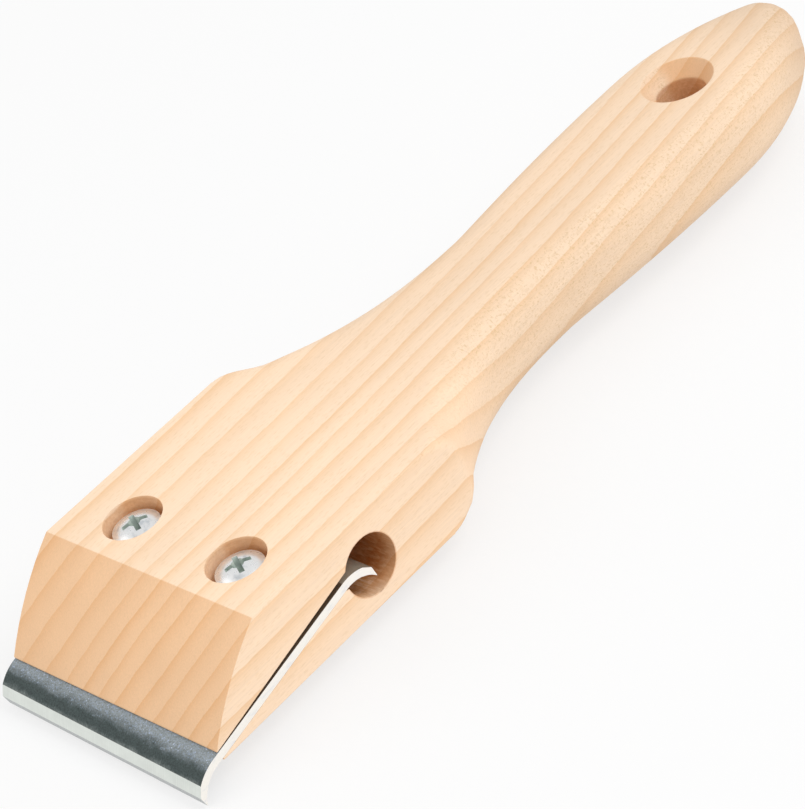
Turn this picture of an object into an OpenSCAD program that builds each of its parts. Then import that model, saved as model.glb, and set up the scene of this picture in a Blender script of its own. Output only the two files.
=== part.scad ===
// Wooden-handled pull scraper: a flat beech handle whose sawn nose clamps one
// reversible blade between two screws and two square nuts. Both ends of the
// blade are hooked and ground, and the spare end waits in a drilled cross hole.
// Millimetres, +Z up through the face with the screw heads, nose toward -Y.
// The origin is under the middle of the tool, at the height of the cutting edge.

/* [Head] */
// Width of the head
head_w = 50; // [44:0.5:70]
// Thickness of the board
board_t = 16.3; // [15:0.1:22]
// Length from the nose to the end of the tail
handle_len = 174.1; // [168:0.1:220]
// Length of the slope that runs from the top face down to the nose
bevel_run = 15.1; // [10:0.1:17]
// Radius of the slope's crown, seen from the side
slope_r = 57.5; // [50:0.5:120]
// Height of the square edge that is left at the foot of the slope
nose_land = 0.32; // [0.2:0.01:1]
// Distance that the lower jaw's nose is cut back behind the upper one
jaw_setback = 0.5; // [0.2:0.1:2]

/* [Grip] */
// Distance from the nose to where the shoulders turn in
shoulder_at = 59.9; // [56:0.1:64]
// Power of the curve that draws the shoulders in
shoulder_power = 2.65; // [2:0.05:3]
// Width over which the left shoulder's corner is softened, the more sanded one
left_corner_w = 5; // [0.5:0.1:6]
// Width over which the right shoulder's corner is softened
right_corner_w = 0.8; // [0.5:0.1:6]
// Width over which the rounded edge turns at a shoulder, so that it never folds over itself
edge_turn_w = 5; // [4.5:0.1:7]
// Distance from the nose to the waist
waist_at = 99.2; // [90:0.1:108]
// Width of the waist
waist_w = 25; // [20:0.1:32]
// Distance from the nose to the widest place of the grip
bulge_at = 142.9; // [132:0.1:148]
// Width of the grip at that place
bulge_w = 30.4; // [26:0.1:36]
// How early the grip widens after the waist, less is earlier
swell_power = 0.6; // [0.5:0.05:1.2]
// Radius of the tail's point, seen from above
tail_r = 7; // [6.5:0.1:9]
// Radius of the edges along the grip and round the tail
edge_r = 6.2; // [4:0.1:6.4]
// Radius of the edges where they start
edge_first_r = 0.3; // [0.2:0.05:1]
// Distance from the nose to where the edges start to be rounded
edge_at = 53.5; // [48:0.1:54]
// Length over which the edges grow to their full radius
edge_run = 10; // [8:0.5:16]

/* [Hanging hole] */
// Distance from the nose to the hole
hang_at = 146.6; // [140:0.1:152]
// Diameter of the hole
hang_d = 9; // [6:0.1:11]
// Diameter of the countersink at either face
hang_sink_d = 13; // [12:0.1:15]
// Depth of the countersink
hang_sink_deep = 2.8; // [1:0.1:4]

/* [Cross hole] */
// Distance from the nose to the hole's axis
cross_at = 37.3; // [36.5:0.1:38]
// Depth of the hole's axis below the top face
cross_deep = 8.8; // [8:0.1:9.5]
// Diameter of the cross hole
cross_d = 10.3; // [10:0.1:11.5]

/* [Blade] */
// Distance that the blade's sides stay inside the head's
blade_inset = 0; // [0:0.1:2]
// Thickness of the blade's steel
blade_t = 1.5; // [1:0.1:1.8]
// Length of the flat between the two bends
blade_flat = 33.3; // [32:0.1:34]
// Slope of the blade, rising toward the grip
blade_tilt = 12.3; // [10:0.1:13]
// Depth of the blade's upper face below the top face, at the nose
blade_deep = 14.42; // [13.5:0.01:14.6]
// Distance that the flat stands out past the nose
blade_out = 0.7; // [0.4:0.1:1]
// Outer radius of the bends
bend_r = 7.3; // [7:0.1:7.8]
// Angle from the flat to the cutting edge
hook_sweep = 64; // [60:0.5:67]
// Angle from the flat to where the grinding starts
grind_start = 34; // [30:0.5:40]
// Angle from the flat to where the second and steeper grinding starts
land_start = 50; // [46:0.5:54]
// Depth that the first grinding has reached there
land_deep = 0.3; // [0.2:0.05:0.5]
// Thickness that is left at the cutting edge
edge_t = 0.1; // [0.05:0.05:0.3]
// Angle by which both hooked ends are off square to the blade's sides, the right one forward
blade_skew = 1.1; // [0:0.1:1.5]
// Diameter of the screw holes in the blade
blade_hole_d = 5.5; // [5.3:0.1:6.5]
// Distance between the near and far pairs of screw holes
blade_hole_gap = 16.5; // [15:0.1:18]
// Extra angle of the saw cut above the blade
kerf_flare = 1.4; // [0.5:0.1:2]

/* [Screws] */
// Distance between the two screws
screw_gap = 25; // [20:0.5:32]
// Distance from the nose to the screws
screw_at = 23.5; // [22.5:0.1:24.5]
// Diameter of the thread
thread_d = 4; // [3:0.1:4.2]
// Length of the screw under its head
screw_len = 12; // [11.5:0.1:12.2]
// Diameter of the screw head
screw_head_d = 8.3; // [7.6:0.1:9]
// Height of the screw head
screw_head_t = 3.3; // [2.8:0.1:3.6]
// Height of the head's straight rim under its dome
head_rim_t = 2.1; // [1.6:0.1:2.2]
// Distance across the wings of the cross recess
recess_w = 4.9; // [4:0.1:5.2]
// Width of one wing
wing_t = 0.9; // [0.6:0.1:1.1]
// Depth of the cross recess
recess_deep = 2.3; // [1.5:0.1:2.6]
// Angle of the left screw's recess
left_turn = -24; // [-45:1:45]
// Angle of the right screw's recess
right_turn = -26; // [-45:1:45]
// Diameter of the counterbore that sinks the head
counterbore_d = 10.2; // [9.6:0.1:12]
// Depth of the counterbore
counterbore_deep = 4; // [3.6:0.1:5]

/* [Nuts] */
// Width across the flats of the square nut
nut_w = 7; // [6:0.1:8]
// Thickness of the nut
nut_t = 2.2; // [1.6:0.1:2.4]

/* [Fits] */
// Gap on each side between the screw and the nut's bore
thread_gap = 0.05; // [0.02:0.01:0.09]
// Gap on each side between the screw and its hole in the wood
wood_hole_gap = 0.3; // [0.2:0.05:0.6]
// Gap on each side between the nut and its pocket
pocket_gap = 0.1; // [0.05:0.01:0.3]
// Distance that the nut sits inside the underside
nut_sink = 0.2; // [0.1:0.05:0.5]
// Gap above the blade at the nose
nose_gap = 0.1; // [0.02:0.01:0.2]
// Relief under the start of the spare end's bend
hook_relief = 0.3; // [0.2:0.05:0.6]

/* [Hidden] */

beech = [0.92, 0.76, 0.58];
steel = [0.55, 0.58, 0.60];
zinc = [0.80, 0.81, 0.82];

$fn = 96;
// Cuts run this far past the faces that they go through
over = 2;

// Half widths along the plan
half_head = head_w / 2;
half_waist = waist_w / 2;
half_bulge = bulge_w / 2;
shoulder_drop = half_head - half_waist;
shoulder_run = waist_at - shoulder_at;

// The tail is a flank arc on each side, tangent to one small arc at its point
tail_mid = handle_len - tail_r;
tail_run = tail_mid - bulge_at;
flank_r = (pow(half_bulge, 2) + pow(tail_run, 2) - pow(tail_r, 2)) / (2 * (half_bulge - tail_r));
flank_end = atan2(tail_run, flank_r - half_bulge);

// Half the distance over which a curve's slope is taken
probe = 0.01;

// How finely the grip is divided
side_steps = 42;
flank_steps = 12;
point_steps = 6;
edge_steps = 6;

// The blade in its own frame: s along the flat from its middle, n up from its
// upper face. screw_s is where the screws pass, from the nose up the slope.
blade_w = head_w - 2 * blade_inset;
blade_rise = tan(blade_tilt);
half_blade = blade_w / 2;
inner_r = bend_r - blade_t;
tip_r = inner_r + edge_t;
land_r = bend_r - land_deep;
screw_s = (screw_at + blade_t / 2 * sin(blade_tilt)) / cos(blade_tilt);
hole_s = screw_s - blade_flat / 2 + blade_out;

// A corner of the front hook, at an angle from the flat and a radius: [s, n]
function hook_corner(angle, r) = [-blade_flat / 2 - r * sin(angle), r * cos(angle) - bend_r];

// Where a point of the blade's right end comes to lie, from the nose and the top face
function turned_s(c) = screw_s + (c[0] - hole_s) / cos(blade_skew) - half_blade * tan(blade_skew);
function right_end_y(c) = turned_s(c) * cos(blade_tilt) - c[1] * sin(blade_tilt);
function right_end_z(c) = turned_s(c) * sin(blade_tilt) + c[1] * cos(blade_tilt) - blade_deep;
front_y = min(
    right_end_y(hook_corner(grind_start, bend_r)),
    right_end_y(hook_corner(land_start, land_r)),
    right_end_y(hook_corner(hook_sweep, tip_r))
);
edge_z = right_end_z(hook_corner(hook_sweep, inner_r));

// Heights below the top face
nut_top = board_t - nut_sink - nut_t;
shank_d = thread_d - 2 * thread_gap;
dome_t = screw_head_t - head_rim_t;
// A head stays this far inside its rim before the dome starts
rim_ease = 0.15;
dome_half = screw_head_d / 2 - rim_ease;
dome_r = (pow(dome_half, 2) + pow(dome_t, 2)) / (2 * dome_t);
chamfer = 0.5;

// From the nose and the top face to the tool's own frame
mid_y = (front_y + handle_len) / 2;
module in_tool_frame() {
    translate([0, -mid_y, -edge_z]) children();
}

// Smooth step from 0 to 1
function ease(t) = let (c = max(0, min(1, t))) c * c * (3 - 2 * c);

// The lesser of two values, rounded over a width k where they cross
function soft_min(a, b, k) = let (h = max(k - abs(a - b), 0) / k) min(a, b) - h * h * k / 4;

// Half width of the handle at a distance y from the nose, up to the bulge.
// blend is the width over which that side's shoulder corner is softened.
function shoulder(y) = half_waist + shoulder_drop * pow(max(0, waist_at - y) / shoulder_run, shoulder_power);
function swell(y) =
    let (t = max(0, y - waist_at) / (bulge_at - waist_at))
    half_waist + (half_bulge - half_waist) * ease(pow(t, swell_power));
function half_width(y, blend) = y < waist_at ? soft_min(half_head, shoulder(y), blend) : swell(y);
function width_slope(y, blend) = (half_width(y + probe, blend) - half_width(y - probe, blend)) / (2 * probe);

// Edge radius at a distance y from the nose
function edge_radius(y) = edge_first_r + (edge_r - edge_first_r) * ease((y - edge_at) / edge_run);

// Places on the outline of one side: [x, y, outward x, outward y]
function side_place(t, blend) =
    let (y = edge_at + (bulge_at - edge_at) * pow(t, 1.3))
    let (slope = width_slope(y, max(blend, edge_turn_w)))
    let (n = sqrt(1 + slope * slope))
    [half_width(y, blend), y, 1 / n, -slope / n];
function flank_place(a) =
    [half_bulge - flank_r + flank_r * cos(a), bulge_at + flank_r * sin(a), cos(a), sin(a)];
function point_place(a) = [tail_r * cos(a), tail_mid + tail_r * sin(a), cos(a), sin(a)];
function flip(p) = [-p[0], p[1], -p[2], p[3]];
function side_outline(blend) = concat(
    [for (i = [0 : side_steps - 1]) side_place(i / side_steps, blend)],
    [for (i = [0 : flank_steps - 1]) flank_place(flank_end * i / flank_steps)],
    [for (i = [0 : point_steps - 1]) point_place(flank_end + (90 - flank_end) * i / point_steps)]
);

right_side = side_outline(right_corner_w);
left_side = side_outline(left_corner_w);
last = len(right_side) - 1;
outline = concat(right_side, [point_place(90)], [for (i = [last : -1 : 0]) flip(left_side[i])]);

// The rounded edge in section, from the underside to the top face:
// [share of the radius inward, share of the radius from the face, 1 at the top]
function edge_step(a, top) = [1 - cos(a), 1 - sin(a), top];
levels = concat(
    [for (k = [edge_steps : -1 : 0]) edge_step(90 * k / edge_steps, 0)],
    [for (k = [0 : edge_steps]) edge_step(90 * k / edge_steps, 1)]
);

function skin_point(p, level) =
    let (r = edge_radius(p[1]))
    let (z = level[2] == 1 ? -level[1] * r : -board_t + level[1] * r)
    [p[0] - p[2] * r * level[0], p[1] - p[3] * r * level[0], z];

// A flat face inside one ring of the outline, as strips from side to side
function flat_face(first, turned) =
    let (n = len(outline))
    [for (i = [0 : last]) for (half = [0, 1])
        if (i < last || half == 0)
            let (a = first + i, b = first + n - 1 - i)
            let (strip = half == 0 ? [a, a + 1, b] : [a + 1, b - 1, b])
            turned ? [strip[2], strip[1], strip[0]] : strip];

// Shoulders, grip and tail as one skin of rings, open flat toward the head
module grip() {
    n = len(outline);
    m = len(levels);
    points = [for (level = levels) for (p = outline) skin_point(p, level)];
    sides = [
        for (k = [0 : m - 2]) for (i = [0 : n - 2]) for (half = [0, 1])
            let (a = k * n + i)
            half == 0 ? [a, a + n, a + 1] : [a + 1, a + n, a + n + 1]
    ];
    joint_left = [for (k = [0 : m - 1]) k * n + n - 1];
    joint_right = [for (k = [m - 1 : -1 : 0]) k * n];
    joint = concat(joint_left, joint_right);
    polyhedron(points = points, faces = concat(sides, flat_face(0, false), flat_face((m - 1) * n, true), [joint]));
}

// A solid of constant section across the tool, from points [y, z]
module across(points, width) {
    rotate([90, 0, 90]) linear_extrude(height = width, center = true) polygon(points);
}

// The head, from the nose to where its edges start to be rounded, inside the
// round that gives its slope a crown
module head() {
    lip_z = -blade_deep + nose_gap + nose_land;
    step_z = -blade_deep - blade_t / 2;
    slope_len = norm([bevel_run, lip_z]);
    inward = [-lip_z, -bevel_run] / slope_len;
    crown_mid = [bevel_run, lip_z] / 2 + inward * sqrt(pow(slope_r, 2) - pow(slope_len / 2, 2));
    intersection() {
        across([
            [0, 0],
            [edge_at, 0],
            [edge_at, -board_t],
            [jaw_setback, -board_t],
            [jaw_setback, step_z],
            [0, step_z]
        ], head_w);
        translate([0, crown_mid[0], crown_mid[1]]) rotate([0, 90, 0])
            cylinder(r = slope_r, h = head_w + 2 * over, center = true, $fn = 360);
    }
}

// The saw cut that holds the blade, open at the nose and into the cross hole
module kerf() {
    flare_rise = tan(blade_tilt + kerf_flare);
    floor_deep = blade_deep + blade_t / cos(blade_tilt);
    bend_at = right_end_y([blade_flat / 2, -blade_t]);
    across([
        [-over, -blade_deep + nose_gap - over * flare_rise],
        [cross_at, -blade_deep + nose_gap + cross_at * flare_rise],
        [cross_at, -floor_deep + cross_at * blade_rise - hook_relief],
        [bend_at, -floor_deep + bend_at * blade_rise - hook_relief],
        [bend_at, -floor_deep + bend_at * blade_rise],
        [-over, -floor_deep - over * blade_rise]
    ], head_w + 2 * over);
}

module cross_hole() {
    translate([0, cross_at, -cross_deep]) rotate([0, 90, 0])
        cylinder(d = cross_d, h = head_w + 2 * over, center = true);
}

// The hanging hole, countersunk at both faces
module hang_hole() {
    flare = (hang_sink_d - hang_d) / 2 / hang_sink_deep;
    translate([0, hang_at, -board_t - over]) cylinder(d = hang_d, h = board_t + 2 * over);
    for (face = [0, 1])
        translate([0, hang_at, -board_t * face]) rotate([180 * face, 0, 0])
            translate([0, 0, -hang_sink_deep])
                cylinder(d1 = hang_d, d2 = hang_sink_d + 2 * flare * over, h = hang_sink_deep + over);
}

// Everything that is cut for one screw: counterbore, hole and nut pocket
module screw_cuts() {
    pocket_w = nut_w + 2 * pocket_gap;
    translate([0, 0, -counterbore_deep]) cylinder(d = counterbore_d, h = counterbore_deep + over);
    translate([0, 0, -board_t - over]) cylinder(d = thread_d + 2 * wood_hole_gap, h = board_t + over);
    translate([-pocket_w / 2, -pocket_w / 2, -board_t - over]) cube([pocket_w, pocket_w, board_t + over - nut_top]);
}

// Moves a piece to the left or the right screw's axis, at the top face
module at_screw(side) {
    translate([side * screw_gap / 2, screw_at, 0]) children();
}

module handle() {
    color(beech) in_tool_frame() difference() {
        union() {
            head();
            grip();
        }
        kerf();
        cross_hole();
        hang_hole();
        for (side = [-1, 1]) at_screw(side) screw_cuts();
    }
}

// The bend and the ground edge at one end of the blade, in the blade's frame:
// the origin is where the flat's upper face ends, and +Y leads off the flat
module hook(width) {
    grind = bend_r * [sin(grind_start), cos(grind_start)];
    land = land_r * [sin(land_start), cos(land_start)];
    tip = tip_r * [sin(hook_sweep), cos(hook_sweep)];
    translate([0, 0, -bend_r]) intersection() {
        rotate([0, 90, 0]) difference() {
            cylinder(r = bend_r, h = width, center = true);
            cylinder(r = inner_r, h = width + 2 * over, center = true);
        }
        across([[0, 0], [0, 2 * bend_r], 2 * grind, grind, land, tip], width);
    }
}

// The bent strip before its sides are sheared, with its upper face at height 0
module strip(width) {
    translate([-width / 2, -blade_flat / 2, -blade_t]) cube([width, blade_flat, blade_t]);
    for (end = [0, 1]) mirror([0, end, 0]) translate([0, blade_flat / 2, 0]) hook(width);
}

module blade() {
    reach = blade_flat + 4 * bend_r;
    color(steel) in_tool_frame()
        translate([0, 0, -blade_deep]) rotate([blade_tilt, 0, 0]) translate([0, screw_s, 0]) difference() {
            intersection() {
                rotate([0, 0, -blade_skew]) translate([0, -hole_s, 0]) strip(blade_w + 2 * over);
                translate([0, -hole_s, 0]) cube([blade_w, reach, 2 * bend_r + over], center = true);
            }
            for (x = [-1, 1]) for (y = [0, 1])
                translate([x * screw_gap / 2, -y * blade_hole_gap, -blade_t - over])
                    cylinder(d = blade_hole_d, h = blade_t + 2 * over);
        }
}

// The driver's cross recess, tapering to its foot
module cross_recess() {
    foot_w = recess_w * 0.36;
    spread = (recess_w - foot_w) / recess_deep;
    for (turn = [0, 90]) rotate([90, 0, turn]) linear_extrude(height = wing_t, center = true)
        polygon([
            [-foot_w / 2, -recess_deep],
            [foot_w / 2, -recess_deep],
            [recess_w / 2 + spread * over / 2, over],
            [-recess_w / 2 - spread * over / 2, over]
        ]);
    translate([0, 0, -recess_deep]) cylinder(d1 = wing_t * 1.1, d2 = wing_t * 2.7, h = recess_deep + over);
}

// A pan-head screw on its own axis, its head's seat on the counterbore's floor
module screw(turn) {
    translate([0, 0, -counterbore_deep]) rotate([0, 0, turn]) difference() {
        union() {
            translate([0, 0, chamfer - screw_len]) cylinder(d = shank_d, h = screw_len - chamfer);
            translate([0, 0, -screw_len]) cylinder(d1 = shank_d - 2 * chamfer, d2 = shank_d, h = chamfer);
            cylinder(d = screw_head_d, h = head_rim_t);
            translate([0, 0, head_rim_t]) intersection() {
                cylinder(r = dome_half, h = dome_t);
                translate([0, 0, dome_t - dome_r]) sphere(r = dome_r);
            }
        }
        translate([0, 0, screw_head_t]) cross_recess();
    }
}

module screw_left() {
    color(zinc) in_tool_frame() at_screw(-1) screw(left_turn);
}

module screw_right() {
    color(zinc) in_tool_frame() at_screw(1) screw(right_turn);
}

// A thin square nut in its pocket
module nut() {
    translate([0, 0, -nut_top - nut_t]) difference() {
        translate([-nut_w / 2, -nut_w / 2, 0]) cube([nut_w, nut_w, nut_t]);
        translate([0, 0, -over]) cylinder(d = thread_d, h = nut_t + 2 * over);
    }
}

module nut_left() {
    color(zinc) in_tool_frame() at_screw(-1) nut();
}

module nut_right() {
    color(zinc) in_tool_frame() at_screw(1) nut();
}

handle();
blade();
screw_left();
screw_right();
nut_left();
nut_right();
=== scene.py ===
"""Looks of a wooden-handled pull scraper with a reversible hooked blade.

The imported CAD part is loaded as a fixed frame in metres. Every solid of it is
stood for here by a finished piece: the beech handle, the hooked blade, two
cross-recess screws and two square nuts. Sizes are written in millimetres.
"""

import logging
import math
from collections.abc import Callable, Iterator, Sequence
from contextlib import contextmanager
from dataclasses import dataclass
from enum import Enum, IntEnum

import bmesh
import bpy
from mathutils import Matrix, Vector


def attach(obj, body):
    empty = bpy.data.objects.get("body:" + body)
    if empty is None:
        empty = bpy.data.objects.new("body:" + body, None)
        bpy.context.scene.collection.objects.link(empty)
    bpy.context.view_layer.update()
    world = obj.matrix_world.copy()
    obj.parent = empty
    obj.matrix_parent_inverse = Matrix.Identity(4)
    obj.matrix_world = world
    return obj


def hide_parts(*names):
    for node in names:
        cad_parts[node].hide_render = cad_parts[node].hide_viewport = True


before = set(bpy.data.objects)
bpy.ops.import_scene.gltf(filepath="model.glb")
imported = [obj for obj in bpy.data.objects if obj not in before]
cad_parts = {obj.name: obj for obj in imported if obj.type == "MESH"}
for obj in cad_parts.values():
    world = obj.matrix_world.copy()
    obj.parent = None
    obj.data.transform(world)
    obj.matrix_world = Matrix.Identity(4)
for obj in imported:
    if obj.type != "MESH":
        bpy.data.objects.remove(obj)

MM = 0.001
# Least cosine between a face's normal and the axis that it counts as turned to.
TURNED = 0.99
# Distance in metres under which points are one or lie on a cutting plane.
ON_PLANE = 1e-7
LOG = logging.getLogger("scraper")

Point = tuple[float, float, float]
Colour = tuple[float, float, float, float]
Piece = bpy.types.Object
Material = bpy.types.Material
Edge = bmesh.types.BMEdge
Face = bmesh.types.BMFace


def linear(red: float, green: float, blue: float) -> Colour:
    """Turns a colour as seen on a screen into the light that a shader takes.

    Args:
        red: Red from 0 to 255.
        green: Green from 0 to 255.
        blue: Blue from 0 to 255.

    Returns:
        Red, green, blue and a full alpha, each from 0 to 1.
    """
    out = []
    for level in (red, green, blue):
        share = level / 255
        out.append(share / 12.92 if share <= 0.04045 else ((share + 0.055) / 1.055) ** 2.4)
    return (out[0], out[1], out[2], 1.0)


class Slot(Enum):
    """Names of the record's material slots."""

    BEECH = "beech"
    STEEL = "blade_steel"
    ZINC = "zinc_plate"


class Body(Enum):
    """CAD bodies that the pieces move with."""

    HANDLE = "handle"
    LEFT = "screw_left"
    RIGHT = "screw_right"


class Bench:
    """The few hand moves that the sub-assemblies share."""

    @staticmethod
    def clear() -> None:
        """Deselects everything, so that an operator meets only what is made next."""
        bpy.ops.object.select_all(action="DESELECT")

    @staticmethod
    def hold(piece: Piece) -> None:
        """Selects one piece alone and makes it the active one."""
        Bench.clear()
        piece.select_set(True)
        bpy.context.view_layer.objects.active = piece

    @staticmethod
    def block(name: str, centre: Point, size: Point) -> Piece:
        """Adds a block.

        Args:
            name: Name of the new piece.
            centre: Its middle, in millimetres.
            size: Its full size, in millimetres.

        Returns:
            The block, with its size applied to its mesh.
        """
        Bench.clear()
        bpy.ops.mesh.primitive_cube_add(size=1, location=[c * MM for c in centre], scale=[s * MM for s in size])
        piece = bpy.context.active_object
        piece.name = name
        Bench.settle(piece)
        return piece

    @staticmethod
    def rod(name: str, centre: Point, radius: float, length: float, sides: int = 64) -> Piece:
        """Adds an upright rod.

        Args:
            name: Name of the new piece.
            centre: Its middle, in millimetres.
            radius: Its radius, in millimetres.
            length: Its length, in millimetres.
            sides: How many sides its round has.

        Returns:
            The rod, with its place applied to its mesh.
        """
        Bench.clear()
        bpy.ops.mesh.primitive_cylinder_add(
            vertices=sides, radius=radius * MM, depth=length * MM, location=[c * MM for c in centre]
        )
        piece = bpy.context.active_object
        piece.name = name
        Bench.settle(piece)
        return piece

    @staticmethod
    def settle(piece: Piece) -> None:
        """Puts the piece's place, turn and size into its mesh."""
        Bench.hold(piece)
        bpy.ops.object.transform_apply(location=True, rotation=True, scale=True)

    @staticmethod
    def apply(piece: Piece, modifier: bpy.types.Modifier) -> None:
        """Applies a modifier of the piece."""
        Bench.hold(piece)
        bpy.ops.object.modifier_apply(modifier=modifier.name)

    @staticmethod
    def place(piece: Piece, matrix: Matrix) -> None:
        """Moves the piece by a matrix and puts that into its mesh."""
        piece.matrix_world = matrix @ piece.matrix_world
        bpy.context.view_layer.update()
        Bench.settle(piece)

    @staticmethod
    @contextmanager
    def shaping(piece: Piece, mode: str = "FACE") -> Iterator[None]:
        """Opens the piece in edit mode with nothing selected.

        Args:
            piece: The piece to shape.
            mode: What is selected in it, VERT, EDGE or FACE.
        """
        Bench.hold(piece)
        bpy.ops.object.mode_set(mode="EDIT")
        bpy.ops.mesh.select_mode(type=mode)
        bpy.ops.mesh.select_all(action="DESELECT")
        yield
        bpy.ops.object.mode_set(mode="OBJECT")

    @staticmethod
    def slice(piece: Piece, spot: Sequence[float], normal: Sequence[float], trim: bool = True) -> None:
        """Cuts the whole piece along a plane.

        Args:
            piece: The piece to cut.
            spot: A place on the plane, in metres.
            normal: The plane's normal.
            trim: Whether what lies on the normal's side is cut off and the cut closed.
        """
        with Bench.shaping(piece, "VERT"):
            bpy.ops.mesh.select_all(action="SELECT")
            bpy.ops.mesh.bisect(plane_co=spot, plane_no=normal, use_fill=trim, clear_outer=trim, threshold=ON_PLANE)

    @staticmethod
    def widen(ratio: Sequence[float], height: float = 0.0) -> None:
        """Resizes what is selected about the Z axis, its heights from a height in millimetres."""
        bpy.ops.transform.resize(value=ratio, center_override=(0, 0, height * MM))

    @staticmethod
    def raise_faces(height: float) -> None:
        """Extrudes the selected faces up by a height in millimetres."""
        bpy.ops.mesh.extrude_region_move(TRANSFORM_OT_translate={"value": (0, 0, height * MM)})

    @staticmethod
    def coat(piece: Piece, *materials: Material) -> None:
        """Gives the piece these materials in place of its own."""
        piece.data.materials.clear()
        for material in materials:
            piece.data.materials.append(material)

    @staticmethod
    def pick_faces(piece: Piece, test: Callable[[Face], bool]) -> None:
        """Selects the faces of the piece in edit mode that pass a test."""
        mesh = bmesh.from_edit_mesh(piece.data)
        for face in mesh.faces:
            face.select = test(face)
        bmesh.update_edit_mesh(piece.data)

    @staticmethod
    def pick_edges(piece: Piece, test: Callable[[Edge], bool]) -> None:
        """Selects the edges of the piece in edit mode that pass a test."""
        mesh = bmesh.from_edit_mesh(piece.data)
        for edge in mesh.edges:
            edge.select = test(edge)
        mesh.select_flush_mode()
        bmesh.update_edit_mesh(piece.data)

    @staticmethod
    def cut(piece: Piece, *tools: Piece) -> None:
        """Cuts each tool's shape out of the piece and removes the tools."""
        for tool in tools:
            bite = piece.modifiers.new("cut", "BOOLEAN")
            bite.object = tool
            bite.operation = "DIFFERENCE"
            bite.solver = "EXACT"
            Bench.apply(piece, bite)
            bpy.data.objects.remove(tool, do_unlink=True)

    @staticmethod
    def ease_edges(piece: Piece, width: float, angle: float) -> None:
        """Rounds the piece's sharp edges.

        Args:
            piece: The piece to round.
            width: Width of the rounding, in millimetres.
            angle: Edges sharper than this many degrees are rounded.
        """
        round_off = piece.modifiers.new("ease", "BEVEL")
        round_off.width = width * MM
        round_off.segments = 2
        round_off.limit_method = "ANGLE"
        round_off.angle_limit = math.radians(angle)
        round_off.harden_normals = False
        Bench.apply(piece, round_off)

    @staticmethod
    def smooth(piece: Piece, angle: float) -> None:
        """Shades the piece smooth, its large faces flat, except over edges sharper than an angle in degrees."""
        Bench.hold(piece)
        bpy.ops.object.shade_smooth_by_angle(angle=math.radians(angle))
        weigh = piece.modifiers.new("weigh", "WEIGHTED_NORMAL")
        weigh.keep_sharp = True
        Bench.apply(piece, weigh)

    @staticmethod
    def copy(piece: Piece, name: str) -> Piece:
        """Copies a piece with a mesh of its own.

        Args:
            piece: The piece to copy.
            name: Name of the copy.

        Returns:
            The copy, free of any body.
        """
        twin = bpy.data.objects.new(name, piece.data.copy())
        bpy.context.scene.collection.objects.link(twin)
        return twin

    @staticmethod
    def join(name: str, parts: Sequence[Piece]) -> Piece:
        """Joins parts into the first one.

        Args:
            name: Name of the joined piece.
            parts: The parts, at least one.

        Returns:
            The joined piece.
        """
        Bench.hold(parts[0])
        for part in parts:
            part.select_set(True)
        bpy.ops.object.join()
        parts[0].name = name
        return parts[0]


Socket = bpy.types.NodeSocket
Value = float | Socket
Place = Point | Socket


@dataclass(frozen=True)
class Noise:
    """Soft noise of so many grains per unit of X, Y and Z, with layers of finer detail."""

    per: Point
    detail: float = 2.0
    rough: float = 0.5
    warp: float = 0.0


@dataclass(frozen=True)
class Ramp:
    """A smooth step from low at the start to high at the end, which may be below the start."""

    start: float
    end: float
    low: float = 0.0
    high: float = 1.0


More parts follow.
